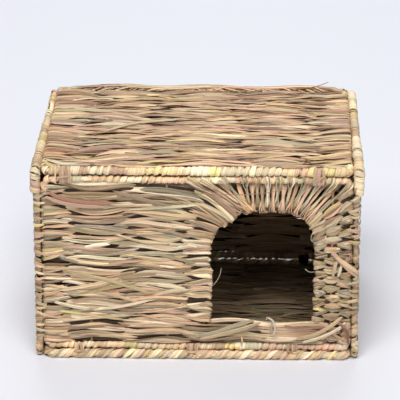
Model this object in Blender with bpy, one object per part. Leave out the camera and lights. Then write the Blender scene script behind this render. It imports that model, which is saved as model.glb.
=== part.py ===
"""Folding woven-grass pet house: six woven panels on wire frames, lashed together at their edges.

The floor, front, roof and back are a four-sided tube of panels that shears flat. The two side panels
close its ends and drop outwards. Metres, +Z up, front towards -Y, origin at the centre of the base.
"""

import math

import bmesh
import bpy
from mathutils import Matrix, Vector

# Driving dimensions
WIDTH = 0.385  # outside of one side panel to outside of the other
DEPTH = 0.292  # front of the front panel to back of the back panel
HEIGHT = 0.242  # underside of the floor to the top of the roof
ROD_R = 0.005  # outer radius of a grass-bound panel edge
WEAVE_T = 0.009  # thickness of a woven panel
FLOOR_WEAVE_T = 2 * ROD_R  # the floor rests flat on its weave
WIRE_R = 0.0015  # steel frame wire
WARP_R = 0.0015  # grass-cord warps that the weft is woven on
GAP = 0.0003  # between pieces that touch
PANEL_GAP = 0.0005  # between a side panel and the end of the tube
ROD_PITCH = 0.0104  # centre to centre of two edges lashed together

DOOR_LEFT = 0.0155
DOOR_RIGHT = 0.139
DOOR_SILL_Z = 0.046
DOOR_TOP_Z = 0.187
DOOR_LEFT_R = 0.054
DOOR_RIGHT_R = 0.038
DOOR_WIRE_INSET = 0.004  # the door wire lies this far inside the weave

LASH_R = 0.0048  # outer radius of a lashing round an edge
LASH_T = 0.0012
LASH_WIDTH = 0.008
FLOOR_FRONT_LASHES = {"left": -0.139, "middle": -0.004, "right": 0.114}
FRONT_ROOF_LASHES = {"left": -0.155, "right": 0.142}
BACK_LASHES = {"left": -0.130, "middle": 0.0, "right": 0.130}
SIDE_LASHES = {"front": -0.090, "back": 0.090}  # along Y
CORNER_TIES = {"upper": 0.130, "lower": 0.036}  # heights on the front panel's right edge

# Derived dimensions
TUBE_WIDTH = WIDTH - 2 * (PANEL_GAP + 2 * ROD_R)
ROD_Y = DEPTH / 2 - ROD_R  # front and back rods lie at -ROD_Y and +ROD_Y
FLOOR_Z = ROD_R
ROOF_Z = HEIGHT - ROD_R
WALL_BOTTOM_Z = FLOOR_Z + ROD_PITCH
WALL_TOP_Z = ROOF_Z - ROD_PITCH
SIDE_X = WIDTH / 2 - ROD_R
WALL_HEIGHT = WALL_TOP_Z - WALL_BOTTOM_Z
PANEL_DEPTH = 2 * ROD_Y
WIRE_INSET = WEAVE_T / 2  # frame wire to the edge of the weave that turns round it
CORNER_R = 0.006
ARC_STEPS = 8  # segments in a quarter of a large arc
CORNER_STEPS = 4
ROD_SIDES = 12
WARPS_ACROSS = 3
WARPS_DEEP = 2
FRONT_WARPS = (-0.125, -0.035, 0.1585)
BORE_R = WIRE_R + GAP
GROOVE_R = LASH_R - LASH_T - GAP
QUARTER = math.pi / 2

LYING = (0, 0, 0)
STANDING = (QUARTER, 0, 0)  # local X across, Y up, Z towards the front
STANDING_SIDE = (QUARTER, 0, QUARTER)  # local X towards the back, Y up, Z to the right


def clear_scene():
    for obj in list(bpy.data.objects):
        bpy.data.objects.remove(obj, do_unlink=True)


def material(name, colour, roughness, metallic=0.0):
    made = bpy.data.materials.new(name)
    made.use_nodes = True
    shader = made.node_tree.nodes["Principled BSDF"]
    shader.inputs["Base Color"].default_value = (*colour, 1.0)
    shader.inputs["Roughness"].default_value = roughness
    shader.inputs["Metallic"].default_value = metallic
    return made


def link(name, data, parent, finish):
    obj = bpy.data.objects.new(name, data)
    bpy.context.scene.collection.objects.link(obj)
    obj.parent = parent
    data.materials.append(finish)
    return obj


def panel_origin(name, location, rotation):
    """The empty on a panel's hinge axis, which all of the panel's pieces hang on."""
    empty = bpy.data.objects.new(name, None)
    empty.location = location
    empty.rotation_euler = rotation
    bpy.context.scene.collection.objects.link(empty)
    return empty


# Outlines, as lists of (x, y)


def arc(centre, radius, start, end, steps):
    angles = [start + (end - start) * i / steps for i in range(steps + 1)]
    return [(centre[0] + radius * math.cos(a), centre[1] + radius * math.sin(a)) for a in angles]


def rounded_rectangle(left, right, low, high, radius):
    corners = (
        ((right - radius, low + radius), -QUARTER),
        ((right - radius, high - radius), 0.0),
        ((left + radius, high - radius), QUARTER),
        ((left + radius, low + radius), 2 * QUARTER),
    )
    return [
        point
        for centre, start in corners
        for point in arc(centre, radius, start, start + QUARTER, CORNER_STEPS)
    ]


def arched_outline(left, right, low, high, left_r, right_r):
    """An arch: up the right side, over the top and down the left side."""
    over_right = arc((right - right_r, high - right_r), right_r, 0, QUARTER, ARC_STEPS)
    over_left = arc((left + left_r, high - left_r), left_r, QUARTER, 2 * QUARTER, ARC_STEPS)
    return [(right, low), *over_right, *over_left, (left, low)]


def loop_outline(half_pitch, radius):
    """A band stretched round two rods that lie half_pitch either side of the origin."""
    right = arc((half_pitch, 0), radius, -QUARTER, QUARTER, CORNER_STEPS * 2)
    left = arc((-half_pitch, 0), radius, QUARTER, 3 * QUARTER, CORNER_STEPS * 2)
    return [*right, *left]


# Curve objects


def add_spline(curve, points, cyclic):
    spline = curve.splines.new("POLY")
    spline.points.add(len(points) - 1)
    for point, (x, y) in zip(spline.points, points):
        point.co = (x, y, 0, 1)
    spline.use_cyclic_u = cyclic


def wire_curve(name, points, radius, cyclic):
    """A round wire along points in the panel's plane."""
    curve = bpy.data.curves.new(name, "CURVE")
    curve.dimensions = "3D"
    curve.bevel_depth = radius
    curve.bevel_resolution = 2
    curve.use_fill_caps = not cyclic
    add_spline(curve, points, cyclic)
    return curve


def band_curve(name, outlines, width):
    """A flat shape with holes, extruded by width about its plane."""
    curve = bpy.data.curves.new(name, "CURVE")
    curve.dimensions = "2D"
    curve.fill_mode = "BOTH"
    curve.extrude = width / 2
    for outline in outlines:
        add_spline(curve, outline, True)
    return curve


def cutter(name, curve, parent, finish, matrix=None):
    """A hidden mesh made from a curve, for a Boolean."""
    source = bpy.data.objects.new(name, curve)
    bpy.context.scene.collection.objects.link(source)
    mesh = bpy.data.meshes.new_from_object(source)
    bpy.data.objects.remove(source)
    bm = bmesh.new()
    bm.from_mesh(mesh)
    bmesh.ops.remove_doubles(bm, verts=bm.verts, dist=1e-6)
    bmesh.ops.recalc_face_normals(bm, faces=bm.faces)
    bm.to_mesh(mesh)
    bm.free()
    made = link(name, mesh, parent, finish)
    if matrix is not None:
        made.matrix_local = matrix
    made.hide_render = True
    made.display_type = "WIRE"
    return made


def cut(obj, tool):
    boolean = obj.modifiers.new(tool.name, "BOOLEAN")
    boolean.operation = "DIFFERENCE"
    boolean.solver = "EXACT"
    boolean.object = tool


# The pieces of a panel


def frame_wire(panel, parent, half_width, low, high):
    outline = rounded_rectangle(-half_width, half_width, low, high, CORNER_R)
    link(f"{panel}_frame_wire", wire_curve(f"{panel}_frame_wire", outline, WIRE_R, True), parent, STEEL)
    return cutter(f"{panel}_frame_channel", wire_curve("frame", outline, BORE_R, True), parent, GRASS)


def warp(panel, parent, number, x, low, high):
    """A warp cord, and the channel that it lies in."""
    name = f"{panel}_warp_{number}"
    ends = [(x, low + GAP), (x, high - GAP)]
    link(name, wire_curve(name, ends, WARP_R, False), parent, CORD)
    through = [(x, low - ROD_R), (x, high + ROD_R)]
    return cutter(f"{name}_channel", wire_curve(name, through, WARP_R + GAP, False), parent, GRASS)


def binding(name, parent, length, y, grooves):
    """The grass wrapping on a panel's edge: a turned sleeve along X with a groove for each lashing."""
    outer = [(-length / 2, ROD_R)]
    for x in sorted(grooves):
        left = x - LASH_WIDTH / 2 - GAP
        right = x + LASH_WIDTH / 2 + GAP
        outer += [(left, ROD_R), (left, GROOVE_R), (right, GROOVE_R), (right, ROD_R)]
    outer.append((length / 2, ROD_R))
    section = [*outer, (length / 2, BORE_R), (-length / 2, BORE_R)]
    bm = bmesh.new()
    corners = [bm.verts.new((x, radius, 0)) for x, radius in section]
    edges = [bm.edges.new((a, b)) for a, b in zip(corners, corners[1:] + corners[:1])]
    bmesh.ops.spin(
        bm,
        geom=[*corners, *edges],
        cent=(0, 0, 0),
        axis=(1, 0, 0),
        angle=2 * math.pi,
        steps=ROD_SIDES,
        use_merge=True,
    )
    bmesh.ops.recalc_face_normals(bm, faces=bm.faces)
    mesh = bpy.data.meshes.new(name)
    bm.to_mesh(mesh)
    bm.free()
    mesh.shade_smooth()
    mesh.set_sharp_from_angle(angle=math.radians(40))
    made = link(name, mesh, parent, WRAP)
    made.location = (0, y, 0)
    return made


def weave(panel, parent, half_width, low, high, thickness, cutters):
    """The woven mat between a panel's two bound edges, with channels for its warps and wires."""
    bm = bmesh.new()
    bmesh.ops.create_cube(bm, size=1)
    centre = Matrix.Translation((0, (low + high) / 2, 0))
    size = Matrix.Diagonal((2 * half_width, high - low, thickness, 1))
    bmesh.ops.transform(bm, matrix=centre @ size, verts=bm.verts)
    mesh = bpy.data.meshes.new(f"{panel}_weave")
    bm.to_mesh(mesh)
    bm.free()
    made = link(f"{panel}_weave", mesh, parent, ROOF_GRASS if panel == "roof" else GRASS)
    for tool in cutters:
        cut(made, tool)
    return made


def woven_panel(panel, parent, half_width, rods, warps, edge_names, grooves, thickness=WEAVE_T):
    """A panel with bound edges at the two heights in rods, and weft turning at its other two edges.

    grooves holds where each of the two edges is lashed, along local X.
    """
    wire_x = half_width - WIRE_INSET
    low, high = rods[0] + ROD_R + GAP, rods[1] - ROD_R - GAP
    cutters = [frame_wire(panel, parent, wire_x, *rods)]
    for number, x in enumerate(warps, 1):
        cutters.append(warp(panel, parent, number, x, low, high))
    binding_length = 2 * (wire_x - CORNER_R)
    for edge, y, places in zip(edge_names, rods, grooves):
        binding(f"{panel}_{edge}_binding", parent, binding_length, y, places)
    return weave(panel, parent, half_width, low, high, thickness, cutters)


def even_warps(half_width, count):
    spacing = 2 * (half_width - WIRE_INSET) / (count + 1)
    return [spacing * (i - (count - 1) / 2) for i in range(count)]


# Lashings


def lash_matrix(first, second, axis):
    """The place of a loop round rods at first and second, which both run along axis."""
    along = (Vector(second) - Vector(first)).normalized()
    across = Vector(axis).cross(along)
    turn = Matrix((along, across, Vector(axis))).transposed().to_4x4()
    return Matrix.Translation((Vector(first) + Vector(second)) / 2) @ turn


def lashing(name, parent, first, second, axis):
    """A band of grass round two rods. first, second and axis are in the parent's frame."""
    half = (Vector(second) - Vector(first)).length / 2
    outlines = [loop_outline(half, LASH_R), loop_outline(half, LASH_R - LASH_T)]
    made = link(name, band_curve(name, outlines, LASH_WIDTH), parent, TIE)
    made.matrix_local = lash_matrix(first, second, axis)
    return made


def lash_slot(name, parent, first, second, axis):
    """The slot through a weave that a lashing passes through."""
    half = (Vector(second) - Vector(first)).length / 2
    outlines = [loop_outline(half, LASH_R + GAP), loop_outline(half, LASH_R - LASH_T - GAP)]
    curve = band_curve(name, outlines, LASH_WIDTH + 2 * GAP)
    return cutter(name, curve, parent, GRASS, lash_matrix(first, second, axis))


def row_of_lashings(prefix, parent, places, first, second):
    """Lashings along local X, with their two rods at (y, z) first and second."""
    for place, x in places.items():
        lashing(f"{prefix}_lashing_{place}", parent, (x, *first), (x, *second), (1, 0, 0))


# The panels


def build_floor():
    parent = panel_origin("floor", (0, -ROD_Y, FLOOR_Z), LYING)
    half = TUBE_WIDTH / 2
    mat = woven_panel(
        "floor",
        parent,
        half,
        (0, PANEL_DEPTH),
        even_warps(half, WARPS_ACROSS),
        ("front", "back"),
        (FLOOR_FRONT_LASHES.values(), BACK_LASHES.values()),
        FLOOR_WEAVE_T,
    )
    row_of_lashings("floor_front", parent, FLOOR_FRONT_LASHES, (0, 0), (0, ROD_PITCH))
    for side, sign in (("left", -1), ("right", 1)):
        for place, y in SIDE_LASHES.items():
            name = f"floor_{side}_lashing_{place}"
            first = (sign * (half - WIRE_INSET), y + ROD_Y, 0)
            second = (sign * SIDE_X, y + ROD_Y, 0)
            lashing(name, parent, first, second, (0, 1, 0))
            cut(mat, lash_slot(f"{name}_slot", parent, first, second, (0, 1, 0)))


def door_opening(parent):
    low, high = DOOR_SILL_Z - WALL_BOTTOM_Z, DOOR_TOP_Z - WALL_BOTTOM_Z
    outline = arched_outline(DOOR_LEFT, DOOR_RIGHT, low, high, DOOR_LEFT_R, DOOR_RIGHT_R)
    return cutter("door_opening", band_curve("door_opening", [outline], 3 * WEAVE_T), parent, GRASS)


def door_wire(parent):
    """The wire that the weft turns round at the doorway, from the bottom edge over the arch and down."""
    path = arched_outline(
        DOOR_LEFT - DOOR_WIRE_INSET,
        DOOR_RIGHT + DOOR_WIRE_INSET,
        ROD_R + 2 * GAP,
        DOOR_TOP_Z + DOOR_WIRE_INSET - WALL_BOTTOM_Z,
        DOOR_LEFT_R + DOOR_WIRE_INSET,
        DOOR_RIGHT_R + DOOR_WIRE_INSET,
    )
    link("door_arch_wire", wire_curve("door_arch_wire", path, WIRE_R, False), parent, STEEL)
    channel = [(path[0][0], 0), *path[1:-1], (path[-1][0], 0)]
    return cutter("door_wire_channel", wire_curve("channel", channel, BORE_R, False), parent, GRASS)


def build_front():
    parent = panel_origin("front_hinge", (0, -ROD_Y, WALL_BOTTOM_Z), STANDING)
    half = TUBE_WIDTH / 2
    mat = woven_panel(
        "front",
        parent,
        half,
        (0, WALL_HEIGHT),
        FRONT_WARPS,
        ("bottom", "top"),
        (FLOOR_FRONT_LASHES.values(), FRONT_ROOF_LASHES.values()),
    )
    cut(mat, door_opening(parent))
    cut(mat, door_wire(parent))
    row_of_lashings("front_roof", parent, FRONT_ROOF_LASHES, (WALL_HEIGHT, 0), (WALL_HEIGHT + ROD_PITCH, 0))
    wire_x = half - WIRE_INSET
    for place, z in CORNER_TIES.items():
        y = z - WALL_BOTTOM_Z
        ends = ((wire_x - GAP, y, 0), (wire_x, y, 0))
        lashing(f"corner_tie_{place}", parent, *ends, (0, 1, 0))
        cut(mat, lash_slot(f"corner_tie_{place}_slot", parent, *ends, (0, 1, 0)))


def build_back():
    """The back panel turns on the floor's back rod, so its own bottom rod is one pitch up."""
    parent = panel_origin("back_hinge", (0, ROD_Y, FLOOR_Z), STANDING)
    half = TUBE_WIDTH / 2
    woven_panel(
        "back",
        parent,
        half,
        (ROD_PITCH, ROD_PITCH + WALL_HEIGHT),
        even_warps(half, WARPS_ACROSS),
        ("bottom", "top"),
        (BACK_LASHES.values(), BACK_LASHES.values()),
    )
    row_of_lashings("back_floor", parent, BACK_LASHES, (0, 0), (ROD_PITCH, 0))


def build_roof():
    """The roof turns on its own front rod, which the front panel's lashings hold."""
    parent = panel_origin("roof_hinge", (0, -ROD_Y, ROOF_Z), LYING)
    half = TUBE_WIDTH / 2
    woven_panel(
        "roof",
        parent,
        half,
        (0, PANEL_DEPTH),
        even_warps(half, WARPS_ACROSS),
        ("front", "back"),
        (FRONT_ROOF_LASHES.values(), BACK_LASHES.values()),
    )
    row_of_lashings("roof_back", parent, BACK_LASHES, (PANEL_DEPTH, -ROD_PITCH), (PANEL_DEPTH, 0))


def build_side(side, sign):
    """A side panel turns on its own bottom rod, which the floor's lashings hold."""
    parent = panel_origin(f"{side}_side_hinge", (sign * SIDE_X, 0, FLOOR_Z), STANDING_SIDE)
    half = DEPTH / 2
    woven_panel(
        f"{side}_side",
        parent,
        half,
        (0, ROOF_Z - FLOOR_Z),
        even_warps(half, WARPS_DEEP),
        ("bottom", "top"),
        (SIDE_LASHES.values(), ()),
    )


clear_scene()
STEEL = material("frame_wire", (0.45, 0.45, 0.46), 0.45, 1.0)
CORD = material("warp_cord", (0.52, 0.41, 0.25), 0.85)
GRASS = material("grass_weave", (0.62, 0.49, 0.30), 0.8)
ROOF_GRASS = material("roof_weave", (0.58, 0.42, 0.28), 0.8)
WRAP = material("grass_binding", (0.70, 0.60, 0.38), 0.75)
TIE = material("grass_lashing", (0.60, 0.44, 0.29), 0.8)
build_floor()
build_front()
build_back()
build_roof()
build_side("left", -1)
build_side("right", 1)
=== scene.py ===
"""Looks of the folding pet house: grass strands woven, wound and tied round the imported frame.

Every panel is built in its own frame: u across it, v up it and w out of its outer face.
"""

import math

import bpy
import numpy as np
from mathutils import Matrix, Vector


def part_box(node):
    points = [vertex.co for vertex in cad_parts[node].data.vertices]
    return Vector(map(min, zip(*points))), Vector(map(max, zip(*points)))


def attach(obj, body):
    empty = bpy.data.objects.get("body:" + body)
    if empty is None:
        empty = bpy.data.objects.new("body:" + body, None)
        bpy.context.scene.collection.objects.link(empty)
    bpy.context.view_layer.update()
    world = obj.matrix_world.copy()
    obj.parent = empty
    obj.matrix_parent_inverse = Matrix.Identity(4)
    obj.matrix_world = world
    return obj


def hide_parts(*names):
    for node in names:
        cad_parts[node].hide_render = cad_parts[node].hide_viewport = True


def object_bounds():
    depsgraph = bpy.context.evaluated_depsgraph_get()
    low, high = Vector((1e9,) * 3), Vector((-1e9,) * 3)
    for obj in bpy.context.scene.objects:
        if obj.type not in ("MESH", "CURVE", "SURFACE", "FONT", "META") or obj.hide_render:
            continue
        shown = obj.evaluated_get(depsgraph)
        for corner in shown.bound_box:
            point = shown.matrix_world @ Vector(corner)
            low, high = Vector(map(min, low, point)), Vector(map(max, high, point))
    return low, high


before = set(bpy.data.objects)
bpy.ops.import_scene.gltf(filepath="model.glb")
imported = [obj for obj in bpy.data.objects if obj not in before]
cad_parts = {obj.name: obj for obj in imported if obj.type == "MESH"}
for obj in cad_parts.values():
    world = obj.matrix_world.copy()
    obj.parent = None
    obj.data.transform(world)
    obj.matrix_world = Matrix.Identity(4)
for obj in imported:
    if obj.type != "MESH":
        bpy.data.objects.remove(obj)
CAD_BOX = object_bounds()

# Sizes, in metres
MM = 0.001  # for the tables that are in millimetres
# Strands
STEP = 0.0050  # between the rings of a strand
SECTION_POINTS = 8
MOST_RINGS = 11500  # in one mesh, which keeps it under 190,000 triangles
STRAND_W = (0.0039, 0.0062)
STRAND_T = (0.0012, 0.0019)
FAN_STRAND_W = (0.0030, 0.0045)
GROUND = 0.0003  # the least height of any strand
# Mats
ROW_PITCH = 0.0066  # between weft rows
LIFT = 0.0023  # from the middle of a panel to a strand over a warp
UNEVEN_ROWS = 0.0021  # how far rows stray from their places in a mat, on average
UNEVEN_FACE = 0.0006  # how far they stray out of its plane
CROSSING_SHIFT = 0.007  # how far along a row its crossings of the warps may lie from them
BROAD_SHADE_CORE = 1.35  # width of the near-black strand inside a row, in row pitches; its dark colour is painted shade for the gaps between the row's strands
THIN_SHADE_CORE = 0.8  # the same in the front, where the dark inside shows through the gaps beside that strand's painted shade
PINCH = 0.22  # how far a row's strands spread where they pass between two warps
FAN_PINCH = 0.09  # the same in the fan over the doorway, whose strands widen like petals
EDGE_SPARE = 0.0004  # that a mat may stand out of its CAD slab at the edges
SIDE_INSET = -0.0014  # of the side mats from the middle of their rods
SELVAGE_INSET = 0.0045  # from the side of a mat to its frame wire
LOOP_REACH = 0.0040  # of a row past the wire that it turns round, at least and at most
MOST_REACH = 0.0050
LOOP_SPACING = 0.0074  # of the side mats' row ends that show at the corners of the front
NOTCH_DEPTH = 0.0019  # of the room that the roof's first rows leave for the lashings on the rod before them
NOTCH_HALF = 0.0135
# How far each mat reaches inwards and outwards from its middle; where nothing folds on to it, it may swell.
# Its strands are pressed back towards the middle from PRESS_FROM on.
PRESS_FROM = 0.0030
DEPTHS = {
    "floor": (0.0047, 0.0049),
    "front": (0.0047, 0.0078),
    "back": (0.0047, 0.0049),
    "roof": (0.0047, 0.0078),
    "left_side": (0.0047, 0.0037),
    "right_side": (0.0047, 0.0037),
}
# Bound edges
WIRE_R = 0.0015
ROD_R = 0.005
THICK_ROD_R = 0.0055  # of the roof's front rod, which hides most of the thin one under it
THIN_ROD_R = 0.0044
FLOOR_ROD_R = 0.0058
COVER_R = 0.0068  # of the strands that lie over a rod
ASKEW = (0.31, 0.17, 0.93)  # a direction that no rod runs in
ROD_OFFSET = 0.0053  # from the edge of a woven mat to the axis of the rod beside it
ROD_END = 0.012  # how far a rod goes on round its corner
LONG_ROD_END = 0.022
CORNER_R = 0.006
# Doorway
ARCH_LEFT_R = 0.058  # of the door wire, as in the CAD
ARCH_RIGHT_R = 0.042
SILL_Z = 0.046
ARCH_PITCH = 0.0046  # of the rows from the left where they meet the arch
FAN_PITCH = 0.0060  # of the fan's rows, halfway out
FAN_SPREAD = 0.78  # how much of that its strands spread over
SHOULDER = 0.40  # share of the door wire at which the rows from the left give way to the fan
DOOR_RAGGED = (0.75, 1.5)  # how unevenly rows reach into the doorway
# Studio
FLOOR_R = 14.0  # half the side of the floor
CAMERA_LENS = 251.3  # in millimetres
CAMERA_DISTANCE = 3.406
CAMERA_PITCH = 21.40  # in degrees, downwards and to the left
CAMERA_YAW = 1.41
CAMERA_TARGET = (0.0003, 0.0, 0.1459)

# Grass colours in sRGB, and how common each is in each part
COLOURS = {
    "straw": (206, 178, 140),
    "tan": (190, 157, 121),
    "pink_tan": (200, 162, 137),
    "rose_brown": (170, 128, 106),
    "grey_green": (180, 170, 140),
    "cream": (222, 205, 172),
    "yellow": (214, 190, 126),
    "orange": (200, 155, 106),
    "brown": (128, 94, 66),
    "purple": (136, 92, 80),
}
FRONT_MIX = {"straw": 36, "tan": 20, "pink_tan": 11, "cream": 17, "grey_green": 11, "yellow": 3, "orange": 2}
ROOF_MIX = {
    "straw": 22,
    "tan": 22,
    "pink_tan": 22,
    "rose_brown": 14,
    "cream": 5,
    "yellow": 4,
    "grey_green": 5,
    "brown": 4,
    "purple": 2,
}
INNER_FAN_MIX = {"orange": 18, "pink_tan": 34, "straw": 28, "tan": 20}
OUTER_FAN_MIX = {"grey_green": 30, "cream": 40, "straw": 30}
BINDING_MIX = {"straw": 34, "cream": 38, "yellow": 12, "pink_tan": 8, "tan": 2, "grey_green": 6}
LASHING_MIX = {"pink_tan": 40, "tan": 25, "straw": 20, "rose_brown": 15}


def linear(colour):
    c = np.array(colour, float) / 255
    return np.where(c <= 0.04045, c / 12.92, ((c + 0.055) / 1.055) ** 2.4)


def pick_colour(rng, mix, bright):
    names = list(mix)
    weights = np.array([mix[n] for n in names], float)
    base = linear(COLOURS[names[rng.choice(len(names), p=weights / weights.sum())]])
    base = base * 0.75 + linear(COLOURS["straw"]) * 0.25
    return base * rng.uniform(*bright) * (1 + rng.normal(0, 0.02, 3))


def unit(v):
    return v / np.maximum(np.linalg.norm(v, axis=-1, keepdims=True), 1e-12)


def lengths_along(line):
    """The length along a line at each of its points."""
    return np.concatenate([[0], np.cumsum(np.linalg.norm(np.diff(line, axis=0), axis=1))])


def points_at(line, lengths, s):
    """The points of a line at the lengths s along it, lengths being those at its own points."""
    return np.stack([np.interp(s, lengths, line[:, k]) for k in range(line.shape[1])], -1)


def catmull_rom(a, b, c, d, f):
    """The value at f of the way from b to c on a smooth curve through all four."""
    return b + 0.5 * f * (c - a + f * (2 * a - 5 * b + 4 * c - d + f * (3 * (b - c) + d - a)))


def wander(rng, s, wave, size):
    """Smooth random wandering along s, of the given wavelength and standard size."""
    count = max(4, int((s[-1] - s[0]) / wave) + 4)
    knots = rng.normal(0, size, count)
    t = (s - s[0]) / wave + 1
    i = np.clip(t.astype(int), 1, count - 3)
    return catmull_rom(knots[i - 1], knots[i], knots[i + 1], knots[i + 2], t - i)


# Strands


class Strands:
    """Grass strands gathered into one mesh, with their colours and a packed UV map.

    shaped takes all the points and returns them pressed into the room that they have.
    """

    def __init__(self, rng, mix, bright=(0.64, 1.36), shaped=None):
        self.rng = rng
        self.mix = mix
        self.bright = bright
        self.shaped = shaped
        self.laid = []

    def lay(
        self, path, out, width, thickness, colour=None, roll=0.0, taper=(0.35, 0.35), groove=None, swell=1.0
    ):
        """One strand along path. out is the way that its flat side faces, for each point or for all.

        roll turns it about its path, taper is its size at its ends, groove scales its height along the middle
        of each face, and swell scales its width at each point.
        """
        rng = self.rng
        path = np.asarray(path, float)
        count = len(path)
        along = lengths_along(path)
        tangent = unit(np.gradient(path, axis=0))
        out = np.broadcast_to(np.asarray(out, float), path.shape)
        normal = unit(out - (out * tangent).sum(1)[:, None] * tangent)
        side = np.cross(tangent, normal)
        roll = np.broadcast_to(np.asarray(roll, float), (count,))[:, None]
        face = np.cos(roll) * normal + np.sin(roll) * side
        edge = np.cos(roll) * side - np.sin(roll) * normal
        size = np.ones(count)
        if along[-1] > 0:
            start = np.clip(along / (2.5 * width), 0, 1)
            end = np.clip((along[-1] - along) / (2.5 * width), 0, 1)
            size = (taper[0] + (1 - taper[0]) * start**0.5) * (taper[1] + (1 - taper[1]) * end**0.5)
        half_w = width / 2 * size * swell * (1 + wander(rng, along, 0.03, 0.09))
        half_t = thickness / 2 * size * (1 + wander(rng, along, 0.02, 0.12))
        angle = 2 * np.pi * np.arange(SECTION_POINTS) / SECTION_POINTS
        if groove is None:
            groove = rng.uniform(0.25, 1.15, 2)
        lie = np.cos(angle)
        rise = np.sin(angle)
        rise[SECTION_POINTS // 4] *= groove[0]
        rise[3 * SECTION_POINTS // 4] *= groove[1]
        ring = (
            path[:, None, :]
            + edge[:, None, :] * (half_w[:, None] * lie[None, :])[:, :, None]
            + face[:, None, :] * (half_t[:, None] * rise[None, :])[:, :, None]
        )
        first = pick_colour(rng, self.mix, self.bright) if colour is None else np.array(colour)
        drift = np.clip(0.5 + wander(rng, along, 0.08, 0.5), 0, 1)[:, None]
        tint = first * (1 - 0.35 * drift) + 0.35 * drift * first * rng.uniform(0.75, 1.15, 3)
        place_in_noise = rng.uniform(0, 50)
        leaf = np.empty((count, SECTION_POINTS, 3))
        leaf[:, :, 0] = along[:, None]
        leaf[:, :, 1] = half_w[:, None] * lie[None, :]
        leaf[:, :, 2] = place_in_noise + 3 * (rise < 0)[None, :]
        self.laid.append((ring, np.repeat(tint[:, None, :], SECTION_POINTS, 1), leaf, along))

    def build(self, name, finish, slot, body, *nodes):
        """The finished piece, riding on body in place of the CAD nodes. A big one is made as several."""
        rings = np.cumsum([len(ring) for ring, *_ in self.laid])
        shares = math.ceil(rings[-1] / MOST_RINGS)
        share = np.minimum((rings - 1) * shares // rings[-1], shares - 1)
        for k in range(shares):
            laid = [strand for strand, which in zip(self.laid, share) if which == k]
            label = name if shares == 1 else f"{name}_{k + 1}"
            self.build_share(label, laid, finish, body, nodes if k == 0 else ())

    def build_share(self, name, laid, finish, body, nodes):
        """One mesh of strands. Each strand has its own band of the UV map, with u along it and v round it."""
        points, tints, leaves, loops, sizes, uvs = [], [], [], [], [], []
        base = 0
        total = len(laid)
        m = SECTION_POINTS
        for k, (ring, tint, leaf, along) in enumerate(laid):
            n = len(ring)
            points.append(ring.reshape(-1, 3))
            tints.append(tint.reshape(-1, 3))
            leaves.append(leaf.reshape(-1, 3))
            i, j = np.meshgrid(np.arange(n - 1), np.arange(m), indexing="ij")
            a = base + i * m + j
            b = base + i * m + (j + 1) % m
            quads = np.stack([a, a + m, b + m, b], -1).reshape(-1, 4)
            u = along / max(along[-1], 1e-9)
            low = (k + 0.06 + 0.88 * j / m) / total
            high = (k + 0.06 + 0.88 * (j + 1) / m) / total
            u0, u1 = u[i], u[i + 1]
            corner = [np.stack([x, y], -1) for x, y in ((u0, low), (u1, low), (u1, high), (u0, high))]
            loops.append(quads.reshape(-1))
            uvs.append(np.stack(corner, 2).reshape(-1, 2))
            sizes.append(np.full(len(quads), 4))
            around = np.arange(m)
            rim = np.linspace((k + 0.06) / total, (k + 0.94) / total, m)
            for cap, end in ((base + around, 0.0), (base + (n - 1) * m + around[::-1], 1.0)):
                loops.append(cap)
                uvs.append(np.stack([np.full(m, abs(end - 0.0005)), rim], -1))
                sizes.append(np.array([m]))
            base += n * m
        points = np.concatenate(points).astype(np.float32)
        if self.shaped:
            points = self.shaped(points).astype(np.float32)
        points[:, 2] = np.maximum(points[:, 2], GROUND)
        loops = np.concatenate(loops).astype(np.int32)
        sizes = np.concatenate(sizes).astype(np.int32)
        mesh = bpy.data.meshes.new(name)
        mesh.vertices.add(len(points))
        mesh.vertices.foreach_set("co", points.ravel())
        mesh.loops.add(len(loops))
        mesh.loops.foreach_set("vertex_index", loops)
        mesh.polygons.add(len(sizes))
        mesh.polygons.foreach_set("loop_start", np.concatenate([[0], np.cumsum(sizes)[:-1]]).astype(np.int32))
        mesh.polygons.foreach_set("loop_total", sizes)
        mesh.update(calc_edges=True)
        tint = mesh.attributes.new("tint", "FLOAT_COLOR", "POINT")
        rgba = np.ones((len(points), 4), np.float32)
        rgba[:, :3] = np.clip(np.concatenate(tints), 0, 1)
        tint.data.foreach_set("color", rgba.ravel())
        leaf = mesh.attributes.new("leaf", "FLOAT_VECTOR", "POINT")
        leaf.data.foreach_set("vector", np.concatenate(leaves).astype(np.float32).ravel())
        layer = mesh.uv_layers.new(name="OFBake")
        layer.data.foreach_set("uv", np.concatenate(uvs).astype(np.float32).ravel())
        mesh.shade_smooth()
        mesh.set_sharp_from_angle(angle=math.radians(38))
        mesh.materials.append(finish)
        piece = bpy.data.objects.new(name, mesh)
        bpy.context.scene.collection.objects.link(piece)
        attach(piece, body)
        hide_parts(*nodes)


# Materials


def new_material(name, roughness):
    made = bpy.data.materials.new(name)
    made.use_nodes = True
    shader = made.node_tree.nodes["Principled BSDF"]
    shader.inputs["Roughness"].default_value = roughness
    return made, made.node_tree.nodes, made.node_tree.links, shader


def add_bump(nodes, links, shader, height, strength, distance):
    bump = nodes.new("ShaderNodeBump")
    bump.inputs["Strength"].default_value = strength
    bump.inputs["Distance"].default_value = distance
    links.new(height, bump.inputs["Height"])
    links.new(bump.outputs[0], shader.inputs["Normal"])


def object_texture(nodes, links, kind, scale):
    """A texture node on the object's own coordinates, in metres."""
    place = nodes.new("ShaderNodeTexCoord")
    texture = nodes.new(kind)
    texture.inputs["Scale"].default_value = scale
    links.new(place.outputs["Object"], texture.inputs["Vector"])
    return texture


def colour_ramp(nodes, links, shader, value, dark, light):
    """The shader's colour, from dark to light as value rises."""
    ramp = nodes.new("ShaderNodeValToRGB")
    ramp.color_ramp.elements[0].color = (*dark, 1)
    ramp.color_ramp.elements[1].color = (*light, 1)
    links.new(value, ramp.inputs[0])
    links.new(ramp.outputs[0], shader.inputs["Base Color"])
    return ramp


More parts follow.
